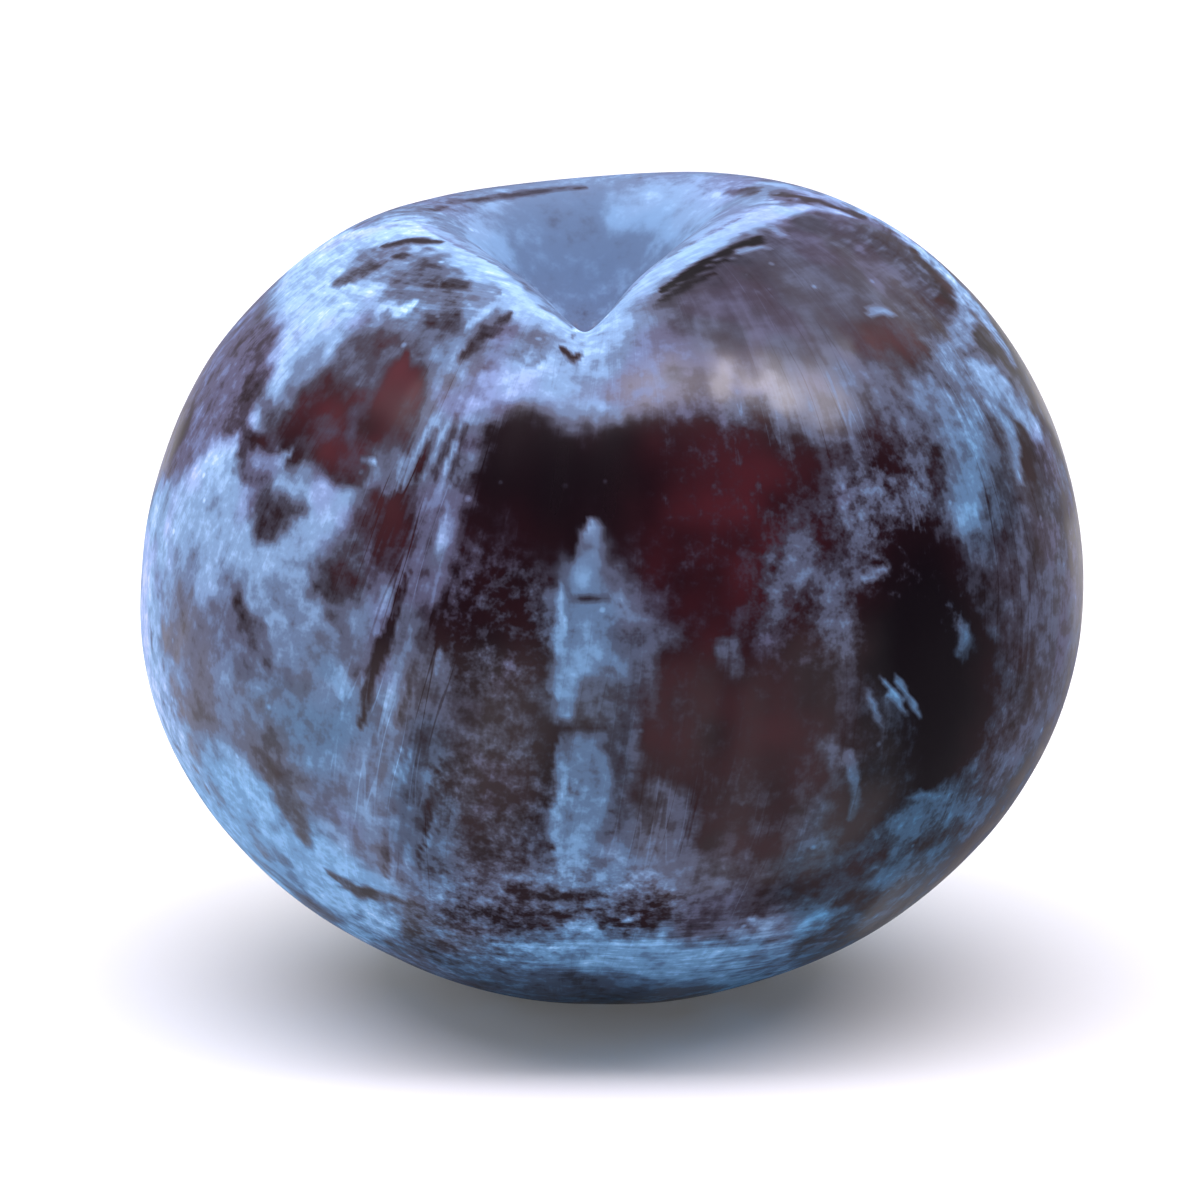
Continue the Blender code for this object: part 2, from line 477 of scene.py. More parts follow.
# A pale line down the left edge: thicker bloom, and also a painted rim highlight
stroke(wax, [(-32.6, 6.0), (-32.9, -2.0), (-31.8, -8.0), (-29.2, -14.0), (-25.7, -18.5)], 3.4, 1.0)
stroke(wax, [(-25.6, 0.4), (-24.3, -1.6), (-23.2, -4.4)], 1.5, 0.3)
dab(wax, (-24.0, -14.6), (5.6, 2.7), -42, 0.86)
dab(wax, (-19.5, -18.8), (5.4, 2.8), -55, 0.84)
stroke(wax, [(-25.6, -11.0), (-24.0, -13.0)], 0.8, 1.0)
stroke(wax, [(-23.2, -8.8), (-22.6, -11.5), (-21.6, -14.2), (-20.0, -17.2)], 1.8, 0.3)
stroke(wax, [(-22.0, -12.0), (-20.6, -12.6), (-20.0, -13.4)], 1.0, 0.36)
stroke(wax, [(-18.9, -19.5), (-17.0, -20.7), (-14.6, -21.5), (-12.2, -21.8)], 0.8, 0.15)
stroke(wax, [(-16.9, -22.6), (-15.6, -21.9)], 0.8, 0.3)
dab(wax, (-16.5, -23.4), (2.4, 1.5), 70, 0.76)
dab(wax, (-13.2, -23.6), (1.3, 1.1), 30, 0.25)

# The left shoulder
dab(wax, (-26.5, 16.6), (6.2, 2.3), 33, 0.4)
stroke(wax, [(-21.6, 22.4), (-23.2, 19.5), (-24.2, 16.4), (-26.4, 13.0)], 1.8, 0.27)
stroke(wax, [(-28.8, 15.4), (-29.9, 12.4), (-30.6, 9.6)], 1.0, 0.3)
dab(wax, (-12.3, 22.6), (5.4, 3.6), 70, 0.46)
dab(wax, (-19.4, 20.9), (4.8, 2.9), 40, 0.95, 0.25)
stroke(wax, [(-19.8, 19.0), (-21.4, 17.0), (-22.3, 15.2)], 2.6, 0.94)
stroke(wax, [(-17.0, 22.6), (-15.6, 21.4), (-17.4, 19.8)], 1.8, 0.84)
dab(wax, (-19.6, 25.0), (3.6, 1.5), 58, 0.88)
stroke(wax, [(-21.4, 24.6), (-19.0, 26.4), (-17.2, 27.3)], 1.6, 0.94)
left_of_notch = [
    (-17.6, 27.0), (-13.4, 27.5), (-9.8, 27.3), (-8.0, 25.2), (-6.2, 23.2), (-3.9, 21.2), (-1.2, 20.1),
]
stroke(wax, left_of_notch, 2.6, 0.86)
stroke(wax, [(-16.6, 26.2), (-14.8, 25.0), (-13.2, 25.0)], 1.0, 0.6)
stroke(wax, [(-14.9, 26.4), (-12.6, 26.9), (-10.4, 26.6)], 0.6, 0.12)
stroke(wax, [(-18.4, 23.5), (-16.7, 24.5), (-14.6, 25.4)], 0.8, 0.28)
stroke(wax, [(-14.2, 25.6), (-12.8, 25.8)], 0.5, 0.2)
stroke(wax, [(-10.6, 23.7), (-8.4, 23.7), (-6.2, 23.0)], 0.7, 0.1)
dab(wax, (-11.8, 24.4), (1.4, 0.8), 60, 0.3)
dab(wax, (-10.4, 21.6), (2.6, 1.5), 40, 0.34)
dab(wax, (-7.6, 22.6), (1.4, 1.6), 60, 0.66)
stroke(wax, [(-15.5, 21.6), (-14.4, 22.3), (-14.0, 21.6), (-12.3, 22.5)], 0.6, 1.0)
dab(wax, (-8.6, 17.6), (2.8, 3.0), 20, 0.6)
stroke(wax, [(-9.0, 18.4), (-7.2, 20.0), (-5.4, 21.3)], 0.9, 0.22)
stroke(wax, [(-7.2, 17.7), (-5.8, 18.0), (-4.4, 18.8)], 0.9, 0.34)
stroke(wax, [(-8.6, 20.6), (-6.8, 21.9), (-5.6, 23.0)], 0.6, 0.85)
stroke(wax, [(-10.0, 17.8), (-8.0, 16.9), (-6.0, 17.1)], 0.7, 0.72)

# The patch that was rubbed to the red skin on the left shoulder, and the smaller ones round it
dab(wax, (-16.6, 14.8), (5.8, 4.8), 36, 0.14, 0.35)
dab(wax, (-15.0, 18.4), (1.9, 3.4), 0, 0.24)
stroke(wax, [(-15.2, 18.8), (-16.4, 16.0), (-17.2, 12.6)], 1.6, 0.26)
stroke(wax, [(-13.2, 18.6), (-14.2, 16.0), (-15.6, 12.6)], 1.4, 0.02)
dab(wax, (-20.2, 13.0), (2.4, 1.9), 30, 0.17)
dab(wax, (-23.6, 12.4), (1.0, 2.4), 40, 0.2)
stroke(wax, [(-25.2, 12.4), (-25.0, 9.8), (-23.2, 8.9)], 1.3, 0.24)
dab(wax, (-23.1, 6.8), (1.9, 1.5), 10, 0.2)
dab(wax, (-23.0, 10.5), (0.8, 1.4), 70, 0.6)
stroke(wax, [(-21.6, 11.7), (-22.6, 10.4)], 0.7, 0.8)
stroke(wax, [(-17.2, 10.8), (-15.9, 10.7), (-15.0, 11.1)], 0.4, 0.66)
dab(wax, (-17.4, 9.6), (1.7, 0.9), 65, 0.14)
dab(wax, (-14.8, 6.3), (3.1, 2.6), 20, 0.13, 0.4)
dab(wax, (-17.6, 2.6), (2.8, 2.0), 40, 0.22)
dab(wax, (-18.2, -1.0), (1.2, 0.8), 0, 0.3)
dab(wax, (-10.6, 7.6), (4.4, 1.6), 12, 0.36)
for start, end, width in (
    ((-12.4, 11.2), (-10.0, 15.6), 0.8), ((-11.8, 9.4), (-9.9, 14.0), 0.9), ((-10.4, 9.6), (-8.1, 15.0), 0.8),
    ((-13.8, 8.8), (-12.2, 12.0), 0.8), ((-9.6, 8.6), (-8.8, 12.4), 0.5), ((-10.6, 4.0), (-9.7, 7.6), 0.6),
):
    stroke(wax, [start, end], width, 0.62)
for start, end in (((-12.4, 9.6), (-10.9, 13.2)), ((-11.0, 9.2), (-9.2, 14.4)), ((-9.8, 9.4), (-8.5, 13.6))):
    stroke(wax, [start, end], 0.7, 0.22)

# Under the notch the bloom is whole, down to where the light from above ends
dab(wax, (-0.8, 16.4), (5.6, 2.6), 90, 0.78)
dab(wax, (3.8, 19.4), (3.0, 2.4), 30, 0.58)
dab(wax, (8.4, 20.8), (2.0, 2.8), 0, 0.24)
# A short dark tick just below the notch's point is painted shade in the crease there
stroke(wax, [(-1.9, 19.0), (-0.9, 18.3), (0.1, 18.7), (0.8, 18.8)], 0.5, 0.0)
stroke(wax, [(-5.8, 19.0), (-4.0, 17.6), (-2.6, 18.4)], 0.8, 0.5)
stroke(wax, [(-0.8, 20.4), (2.4, 22.9), (5.6, 25.2), (9.4, 27.6), (13.0, 29.0), (16.0, 29.4)], 1.6, 1.1)
stroke(wax, [(0.0, 18.6), (1.6, 19.9), (3.2, 21.2)], 1.6, 0.76)

# The cavity, with thin dark lines of painted shade along its far rim
dab(basin_wax, (0.0, 26.6), (4.0, 3.4), 0, 0.56)
dab(basin_wax, (-6.6, 27.2), (1.8, 2.8), 90, 0.72)
dab(basin_wax, (5.8, 29.0), (4.4, 2.2), 78, 0.76)
# Dark lines of painted shade along the far rim, each with a pale line beside it
stroke(basin_wax, [(-16.0, 28.2), (-12.5, 29.0), (-10.0, 29.4)], 0.5, 0.24)
stroke(basin_wax, [(-15.4, 28.8), (-12.6, 29.5), (-9.0, 30.0)], 0.4, 0.6)
stroke(basin_wax, [(-10.0, 29.8), (-6.5, 30.1), (-3.0, 30.3), (0.0, 30.8)], 0.5, 0.26)
stroke(basin_wax, [(-5.0, 30.6), (-2.4, 31.3), (1.0, 31.6)], 0.5, 0.6)
stroke(basin_wax, [(10.2, 30.4), (12.8, 30.5)], 0.7, 0.26)
stroke(basin_wax, [(8.8, 30.3), (10.2, 30.1)], 0.6, 0.9)

# The right shoulder, rubbed thin and glossy, with pale lines along its far edge, a pale band that is thin
# bloom and also a painted highlight, and a painted glint
dab(wax, (14.8, 23.0), (6.6, 9.6), 0, 0.28)
dab(wax, (22.6, 18.8), (3.6, 3.2), 0, 0.14, 0.6)
# Thin bloom in a band where the light above reflects; it also pales that band as a painted highlight
dab(wax, (5.0, 16.3), (1.5, 3.4), 0, 0.38)
dab(wax, (10.0, 16.8), (1.4, 5.4), 0, 0.3, 0.7)
dab(wax, (16.4, 16.2), (3.0, 4.4), 0, 0.33, 0.7)
stroke(wax, [(5.4, 22.8), (7.6, 24.4), (10.2, 25.8), (13.0, 27.0)], 0.7, 0.02)
stroke(wax, [(8.8, 25.0), (10.8, 26.1), (13.4, 26.6)], 0.35, 0.62)
stroke(wax, [(5.6, 22.2), (7.4, 23.4), (9.8, 24.6)], 0.5, 0.1)
stroke(wax, [(13.4, 27.9), (14.8, 27.2)], 0.35, 0.55)
# A short pale stroke high on the shoulder is a painted glint
stroke(wax, [(20.6, 21.6), (21.6, 21.9), (22.4, 21.7)], 0.6, 0.7)
stroke(wax, [(12.0, 31.2), (18.0, 30.1), (22.4, 28.0), (26.2, 24.6), (29.0, 21.4), (31.6, 17.6)], 0.7, 0.72)
stroke(wax, [(13.4, 30.3), (18.0, 29.5), (20.6, 28.6)], 0.6, 0.16)
stroke(wax, [(24.0, 26.0), (26.8, 22.6), (29.4, 19.4), (31.6, 16.4)], 0.6, 0.04)
stroke(wax, [(14.0, 29.5), (17.5, 29.3), (20.0, 28.4)], 0.5, 0.7)

# The bare band below the light, and the red skin on its right
dab(wax, (-3.8, 9.0), (5.4, 4.4), 0, -0.04, 0.3)
dab(wax, (6.6, 9.4), (5.0, 7.8), 0, 0.05, 0.4)
dab(wax, (8.6, 4.6), (7.0, 5.4), 10, 0.06, 0.4)
dab(wax, (3.0, 10.0), (2.6, 4.4), 0, -0.04, 0.8)
dab(wax, (14.8, 8.6), (3.4, 3.6), 0, 0.1, 0.5)
dab(wax, (-6.6, 4.4), (2.6, 2.0), 0, 0.06, 0.5)

# Right of the band: flecks, then steep strokes of thin bloom
dab(wax, (17.0, 0.6), (5.4, 3.8), 0, 0.3, 0.6)
dab(wax, (18.8, -0.6), (2.0, 1.2), 0, 0.42, 0.6)
dab(wax, (16.2, 2.6), (1.4, 1.2), 0, 0.4, 0.6)
dab(wax, (18.6, 7.0), (3.6, 1.8), 0, 0.16)
dab(wax, (22.0, 7.6), (4.6, 3.0), 0, 0.32, 0.5)
dab(wax, (20.4, 11.6), (2.2, 1.6), 0, 0.16, 0.5)
dab(wax, (23.6, 14.4), (3.0, 2.8), 0, 0.36)
dab(wax, (27.7, 13.6), (4.6, 2.6), -8, 0.44)
stroke(wax, [(26.4, 19.2), (27.2, 15.0), (27.8, 10.0), (28.0, 6.0)], 3.8, 0.52)
stroke(wax, [(24.2, 16.4), (24.4, 13.6), (24.0, 10.0)], 2.6, 0.44)
stroke(wax, [(25.8, 11.6), (25.6, 8.4), (25.2, 5.4)], 1.3, 0.12)
stroke(wax, [(28.2, 18.4), (31.0, 15.8), (33.4, 12.4)], 1.9, 0.7)
stroke(wax, [(29.6, 15.0), (31.4, 12.4), (32.0, 9.4)], 0.9, 0.6)
stroke(wax, [(31.6, 13.4), (32.6, 11.6), (33.2, 9.6)], 0.8, 0.08)
stroke(wax, [(29.9, 12.4), (30.4, 9.6), (30.2, 6.0)], 1.6, 0.26)
dab(wax, (27.4, 21.2), (1.3, 0.7), -40, 0.66)

# The dull patch low on the right, the nearly black one beside it and the blue below. The nearly black patch
# and the dark place at its lower left are painted shade, a dark reflection painted into the skin.
dab(wax, (10.4, -8.6), (7.6, 8.6), 0, 0.03)
dab(wax, (11.4, -4.2), (1.6, 1.2), 0, 0.3)
# Nearly black skin: painted shade that stands for a dark reflection
dab(wax, (25.0, -5.0), (10.4, 4.4), -4, -0.2, 0.3)
dab(wax, (23.6, 1.6), (2.4, 2.0), 60, 0.02, 0.5)
dab(wax, (22.0, -7.8), (2.8, 1.5), -18, 0.24, 0.7)
for start, end in (((21.4, -4.4), (23.2, -7.4)), ((22.6, -4.8), (24.4, -7.8)), ((20.6, -6.0), (21.8, -9.4))):
    stroke(wax, [start, end], 0.5, 0.56)
dab(wax, (18.7, -11.5), (2.6, 1.3), -20, 0.34)
dab(wax, (27.3, -2.2), (2.0, 0.9), -10, 0.32, 0.8)
stroke(wax, [(20.4, 2.2), (21.6, 2.6), (22.4, 3.2)], 0.6, 0.6)
dab(wax, (24.4, -17.2), (8.0, 2.4), 48, 0.33, 0.6)
stroke(wax, [(19.8, -13.0), (20.4, -15.4), (21.4, -17.0)], 0.6, 0.5)
stroke(wax, [(23.2, -14.0), (24.6, -13.6), (26.4, -14.0)], 0.5, 0.5)
dab(wax, (7.0, -17.0), (4.0, 1.9), 0, 0.38)
dab(wax, (12.8, -16.4), (4.2, 3.4), 0, 0.14)
# Painted shade at the lower left of the nearly black patch
dab(wax, (21.4, -12.4), (5.0, 2.8), 20, 0.06)
stroke(wax, [(19.4, -10.4), (20.0, -13.0), (19.4, -15.4)], 0.9, 0.4)
dab(wax, (12.0, -21.8), (1.6, 4.4), 0, 0.28)
dab(wax, (18.2, -20.0), (2.4, 3.2), 20, 0.15)

# Left of the stripe: brown skin with crumbs of wax, and hair strokes beside it
dab(wax, (-6.4, -2.5), (6.5, 4.4), 0, 0.1)
dab(wax, (-5.8, -12.0), (8.4, 3.8), 0, 0.2)
dab(wax, (-11.0, -8.0), (6.0, 2.4), 10, 0.32)
dab(wax, (-12.0, -15.0), (5.0, 2.6), 8, 0.42)
stroke(wax, [(-13.0, 2.6), (-14.6, -1.6), (-15.6, -5.0), (-16.4, -8.4)], 0.9, 0.04)
stroke(wax, [(-14.4, 1.6), (-15.4, -1.6)], 1.2, 0.64)
for start, end, width, value in (
    ((-13.4, -3.2), (-15.0, -9.4), 0.7, 0.64), ((-12.8, -1.2), (-13.8, -4.6), 0.5, 0.6),
    ((-12.6, -4.4), (-13.8, -8.6), 0.5, 0.16), ((-17.6, -3.6), (-17.9, -6.4), 0.8, 0.7),
    ((-13.3, -10.0), (-13.9, -12.2), 0.5, 0.68), ((-12.5, -9.8), (-13.0, -12.4), 0.4, 0.6),
    ((-10.9, -14.4), (-11.5, -17.6), 0.6, 0.66), ((-12.8, -16.8), (-13.4, -19.6), 0.6, 0.66),
    ((-10.2, -11.0), (-12.2, -19.0), 0.5, 0.18), ((-14.6, -16.0), (-14.8, -19.8), 0.6, 0.24),
    ((-10.4, -2.8), (-10.8, -4.8), 0.5, 0.5), ((-9.0, -13.0), (-10.2, -18.0), 0.5, 0.5),
):
    stroke(wax, [start, end], width, value)
dab(wax, (-7.0, -23.0), (2.6, 6.0), -8, 0.3)

# The stripe of bloom left in the suture's furrow
dab(wax, (3.4, -1.6), (4.4, 2.2), 0, 0.42, 0.8)
dab(wax, (0.2, -1.4), (5.2, 2.2), 0, 0.53, 0.35)
dab(wax, (2.8, -13.4), (5.6, 1.2), 0, 0.32, 0.7)
dab(wax, (-0.2, -14.4), (6.2, 1.9), 0, 0.64, 0.25)
stroke(wax, [(0.3, 6.4), (0.1, 4.0), (-0.2, 1.0)], 2.4, 0.62)
dab(wax, (1.2, -6.8), (2.2, 1.5), 0, 0.3, 0.6)
dab(wax, (-1.4, -6.0), (2.2, 0.9), 0, 0.64)
stroke(wax, [(-1.8, 2.0), (-1.8, -7.4)], 0.8, 0.7)
stroke(wax, [(-1.8, -9.6), (-1.9, -14.0), (-1.7, -19.4)], 0.9, 0.72)
stroke(wax, [(-2.6, 0.6), (0.4, 0.8), (2.8, 0.4)], 0.45, 0.22)
stroke(wax, [(-2.8, -8.6), (0.0, -8.4), (1.6, -8.8)], 0.8, 0.12)
stroke(wax, [(-4.4, -17.4), (-2.2, -17.6)], 1.0, 0.22)
stroke(wax, [(-6.0, -20.4), (-2.0, -21.0), (1.4, -20.8)], 0.9, 0.08)
stroke(wax, [(-5.4, -21.9), (-2.0, -22.2), (1.2, -22.0)], 0.5, 0.16)

# The bottom bloom
dab(wax, (6.0, -26.2), (1.8, 12.4), 8, 0.74)
dab(wax, (14.0, -24.0), (1.5, 5.0), -22, 0.62)
dab(wax, (3.4, -22.8), (1.7, 2.8), 0, 0.16)
stroke(wax, [(2.6, -23.0), (4.2, -22.6)], 0.5, 0.6)
stroke(wax, [(-1.6, -23.2), (0.6, -23.4)], 0.8, 0.76)
stroke(wax, [(12.0, -22.8), (13.4, -23.4)], 0.8, 0.82)

wax += (basin_wax - wax) * basin

# How red the bare skin is
flush = (0.1 + 0.35 * ease((mottle(points, 9.0 * MM, 21) - 0.5) / 0.3)) * ease((fall - 0.6) / 0.3)
dab_whole_side(flush, 0.1)
dab(flush, (-16.0, 15.0), (7.0, 5.0), 30, 0.5, 0.6)
dab(flush, (-15.0, 5.5), (4.0, 3.5), 0, 0.35)
dab(flush, (11.5, 5.0), (8.5, 5.5), -5, 0.42, 0.95)
dab(flush, (11.0, -8.0), (9.0, 8.0), 0, 0.25)
dab(flush, (16.0, 22.0), (8.0, 9.0), 0, 0.2)
dab(flush, (22.5, 18.6), (4.4, 3.6), 0, 0.4, 0.9)
stroke(flush, [(4.0, 22.0), (8.0, 25.0), (13.0, 27.4), (18.0, 28.6)], 4.0, 0.0)
# No red in the nearly black patch, which is painted shade
dab(flush, (24.5, -6.0), (11.5, 4.6), 6, 0.0)
dab(flush, (-2.0, 10.0), (5.0, 6.5), 0, 0.02, 0.6)
flush *= 0.4 + 1.2 * mottle(points, 2.2 * MM, 23)
point_values(skin_mesh, "flush", flush)

# How well the bare skin was rubbed to a gloss
polished = 0.12 + 0.3 * ease((mottle(points, 8.0 * MM, 25) - 0.4) / 0.2)
dab(polished, (14.5, 20.0), (10.0, 12.0), 0, 0.3, 0.6)
dab(polished, (11.0, 15.8), (1.5, 8.2), 0, 0.48, 0.9)
dab(polished, (17.2, 16.8), (2.8, 3.4), 0, 0.62, 0.9)
for bright_spot in ((9.8, 16.9), (12.4, 16.3), (14.8, 15.2), (18.8, 18.2)):
    dab(polished, bright_spot, (0.9, 1.0), 0, 1.0, 0.9)
crest = [(2.0, 21.6), (7.0, 25.8), (12.0, 28.4), (18.0, 29.4), (24.0, 26.0), (28.0, 21.0)]
stroke(polished, crest, 4.0, 0.1)
dab(polished, (-18.0, 12.0), (14.0, 12.0), 0, 0.12)
dab(polished, (-6.0, -6.0), (12.0, 5.0), 0, 0.35)
dab(polished, (10.0, -9.0), (9.0, 9.0), 0, 0.25)
dab(polished, (29.0, -7.0), (16.0, 9.0), 0, 0.0)
polished *= ease((fall - 0.5) / 0.3)
streaks = mottle(strokes * (1.0, 1.0, 0.2), 1.6, 65)
polished = np.clip(polished * (0.5 + 1.0 * streaks), 0.0, 1.0)
point_values(skin_mesh, "polished", polished)

# Where hairs drew upright strokes through the bloom, where they swept round, and where it lies in flecks
brushed = 0.04 + 0.34 * ease((mottle(points, 10.0 * MM, 31) - 0.5) / 0.2)
dab_whole_side(brushed, 0.06)
dab(brushed, (15.5, 14.0), (3.4, 6.5), 0, 0.26, 0.7)
dab(brushed, (-13.0, -6.0), (14.0, 3.6), 5, 0.32, 0.6)
dab(brushed, (-11.0, 11.0), (7.0, 3.5), 20, 0.35, 0.6)
dab(brushed, (28.0, 12.0), (9.0, 4.0), 0, 0.24, 0.6)
dab(brushed, (8.0, -17.0), (4.5, 5.0), 0, 0.18, 0.6)
swept = 0.03 + 0.3 * ease((mottle(points, 11.0 * MM, 35) - 0.52) / 0.2)
dab_whole_side(swept, 0.03)
dab(swept, (-12.0, 25.0), (3.5, 9.0), 0, 0.55)
dab(swept, (8.0, 27.0), (2.0, 6.0), -50, 0.5)
dab(swept, (22.0, 27.0), (2.0, 9.0), 40, 0.4)
dab(swept, (6.0, -25.0), (2.5, 14.0), 0, 0.5)
dab(swept, (0.0, 29.0), (2.0, 12.0), 0, 0.12)
flecked = 0.2 + 0.5 * ease((mottle(points, 9.0 * MM, 41) - 0.5) / 0.2)
dab_whole_side(flecked, 0.22)
dab(flecked, (14.5, 22.5), (7.2, 9.5), 0, 0.05)
dab(flecked, (-16.6, 14.8), (6.0, 5.0), 36, 0.12, 0.6)
dab(flecked, (0.0, 27.0), (5.0, 9.0), 0, 0.08)
dab(flecked, (-1.0, 8.0), (7.0, 6.0), 0, 0.08)
dab(flecked, (10.6, 9.0), (6.4, 5.4), 0, 0.34, 0.7)
dab(flecked, (22.0, 7.0), (5.0, 3.6), 0, 0.55, 0.6)
dab(flecked, (17.0, 1.0), (6.0, 4.4), 0, 0.38)
dab(flecked, (25.0, 0.5), (3.0, 3.0), 0, 0.5)
dab(flecked, (-7.0, -22.5), (4.0, 8.0), -8, 0.65, 0.6)
dab(flecked, (-6.0, -2.0), (5.5, 3.6), 0, 0.6)
dab(flecked, (-6.0, -14.0), (6.0, 4.0), 0, 0.5)
dab(flecked, (3.0, -22.0), (2.4, 4.0), 0, 0.7)
brushed *= ease((fall - 0.3) / 0.5)
swept *= ease((fall - 0.3) / 0.5) * (1.0 - 0.8 * ease(brushed / 0.3))
for name, values in (("brushed", brushed), ("swept", swept), ("flecked", flecked)):
    point_values(skin_mesh, name, values)

# Thin and thick places in the bloom, and broad sweeps along the strokes
tatters = cloud((0.4, 2.6, 51), (0.35, 1.2, 52), (0.25, 0.6, 53))
drawn_out = strokes * (1.0, 1.0, 0.13)
sweeps = 0.6 * mottle(drawn_out, 1.4, 61) + 0.4 * mottle(drawn_out, 0.7, 62)
torn = 0.75 - 0.4 * ease((0.8 - fall) / 0.3)
dab(torn, (14.2, 22.4), (6.4, 8.4), 0, 0.3, 0.6)
dab(torn, (-20.0, 20.4), (5.6, 3.4), 40, 0.4, 0.5)
torn *= 0.2 + 0.8 * ease((wax + 0.05) / 0.3)
wax += torn * (tatters - 0.5) + 1.1 * (sweeps - 0.5) * brushed
wax = np.where(wax > WHOLE_BLOOM, WHOLE_BLOOM + 0.5 * (wax - WHOLE_BLOOM), wax)

# The pale lines on both branches of the notch and the dark one beside them, kept out of the basin
right_branch = [(-0.6, 19.7), (3.2, 22.8), (6.2, 25.1), (9.4, 27.2), (12.8, 28.8), (16.0, 29.3)]
left_branch = [
    (-17.4, 27.2), (-13.6, 27.8), (-9.6, 27.6), (-7.4, 25.7), (-5.2, 23.2), (-3.2, 21.5), (-1.2, 20.7),
]
lined = wax.copy()
stroke(lined, right_branch, 2.1, 0.86, 0.85)
stroke(lined, [(-0.4, 20.9), (3.0, 23.8), (6.2, 26.4), (9.6, 28.2)], 0.6, 1.0, 0.8)
stroke(lined, [(5.4, 22.9), (7.6, 24.6), (10.0, 26.0), (12.8, 27.2)], 0.6, -0.05, 0.9)
stroke(lined, left_branch, 1.0, 0.92, 0.7)
wax += (lined - wax) * (1.0 - basin)
point_values(skin_mesh, "wax", wax)

# The bloom's tint, from blue at 0 to lilac at 1
tint = 0.5 + 0.3 * ease((cloud((0.6, 4.5, 71), (0.4, 2.0, 72)) - 0.45) / 0.2)
tint -= 0.25 * ease((fall - 1.9) / 0.5)
dab(tint, (-28.0, -5.0), (9.0, 4.0), 0, 0.65)
dab(tint, (-27.0, 16.0), (7.0, 3.0), 33, 0.95)
dab(tint, (-8.0, 17.0), (3.0, 3.0), 0, 0.9)
dab(tint, (-22.0, -17.0), (10.0, 4.0), -48, 0.3)
dab(tint, (12.0, -22.0), (2.0, 5.0), 0, 0.75)
dab(tint, (22.5, -17.0), (11.0, 6.0), 45, 0.05, 0.8)
dab(tint, (28.0, -4.0), (5.0, 3.0), 0, 0.15, 0.8)
dab(tint, (23.0, -7.0), (4.0, 3.0), 0, 0.2)
dab(tint, (18.0, -20.5), (3.5, 4.0), 0, 0.1)
dab(tint, (26.0, 14.0), (9.0, 5.0), 0, 0.4, 0.8)
dab(tint, (29.0, 8.0), (6.0, 3.0), 0, 0.25, 0.8)
dab(tint, (0.0, -9.0), (16.0, 4.5), 0, 0.32)
dab(tint, (-20.0, -8.0), (4.0, 5.0), 0, 0.25, 0.8)
dab(tint, (0.0, 27.0), (5.0, 9.0), 0, 0.38, 0.6)
dab(tint, (3.0, -26.5), (3.0, 14.0), 5, 0.25)
dab(tint, (-11.0, -14.0), (8.0, 3.0), 0, 0.3)
dab(tint, (-11.0, 22.0), (4.0, 5.0), 60, 0.4)
point_values(skin_mesh, "tint", tint)
point_values(skin_mesh, "cork", cork)

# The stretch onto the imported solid's box
lowest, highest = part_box("plum")
lowest, highest = np.array(lowest), np.array(highest)
form_low, form_high = points.min(axis=0), points.max(axis=0)
points = lowest + (points - form_low) * (highest - lowest) / (form_high - form_low)
move_points(skin_mesh, points)

skin = bpy.data.objects.new("plum_skin", skin_mesh)
bpy.context.scene.collection.objects.link(skin)

# The colours: bare skin from dark to red, the wax from none to whole, its tints, and the cork. A step's
# first number is where it lies between 0 and 1.
DARK_SKIN = (0.005, 0.003, 0.005, 1.0)
RED_SKIN = (0.095, 0.017, 0.024, 1.0)
WAX_COLOURS = (
    (0.00, (0.020, 0.013, 0.020)), (0.24, (0.053, 0.052, 0.076)), (0.42, (0.097, 0.113, 0.174)),
    (0.58, (0.142, 0.206, 0.330)), (0.76, (0.228, 0.370, 0.580)), (0.90, (0.345, 0.545, 0.820)),
    (1.00, (0.550, 0.730, 0.970)),
)
TINTS = ((0.0, (0.50, 0.90, 1.00)), (0.5, (0.92, 0.90, 0.91)), (1.0, (1.00, 0.80, 0.90)))
CORK_COLOURS = ((0.3, (0.035, 0.018, 0.010)), (0.7, (0.30, 0.19, 0.11)))
WAX_THICKNESS = 0.06 * MM


def step(tree, kind, values=(), **settings):
    """Adds a node to a material, with its settings, and sets each named input to a value or links it."""
    made = tree.nodes.new(kind)
    for name, value in settings.items():
        setattr(made, name, value)
    for name, value in dict(values).items():
        if isinstance(value, bpy.types.NodeSocket):
            tree.links.new(value, made.inputs[name])
        else:
            made.inputs[name].default_value = value
    return made


def figure(tree, operation, *values):
    """One sum of arithmetic between numbers and other nodes' outputs."""
    return step(tree, "ShaderNodeMath", enumerate(values), operation=operation).outputs[0]


def spread(tree, value, low, high, to_low=0.0, to_high=1.0, smooth=False):
    """Stretches the values from low to high onto another range and holds them inside it."""
    values = {"From Min": low, "From Max": high, "To Min": to_low, "To Max": to_high, "Value": value}
    kind = "SMOOTHSTEP" if smooth else "LINEAR"
    return step(tree, "ShaderNodeMapRange", values, interpolation_type=kind).outputs["Result"]


def grain(tree, places, stretch, detail, roughness, start=0.0):
    """A cloudy pattern between 0 and 1, with so many grains a unit along each way of the places."""
    values = {0: places, 1: stretch, 2: (start, start, start)}
    scaled = step(tree, "ShaderNodeVectorMath", values, operation="MULTIPLY_ADD").outputs[0]
    values = {"Vector": scaled, "Scale": 1.0, "Detail": detail, "Roughness": roughness}
    return step(tree, "ShaderNodeTexNoise", values).outputs["Fac"]


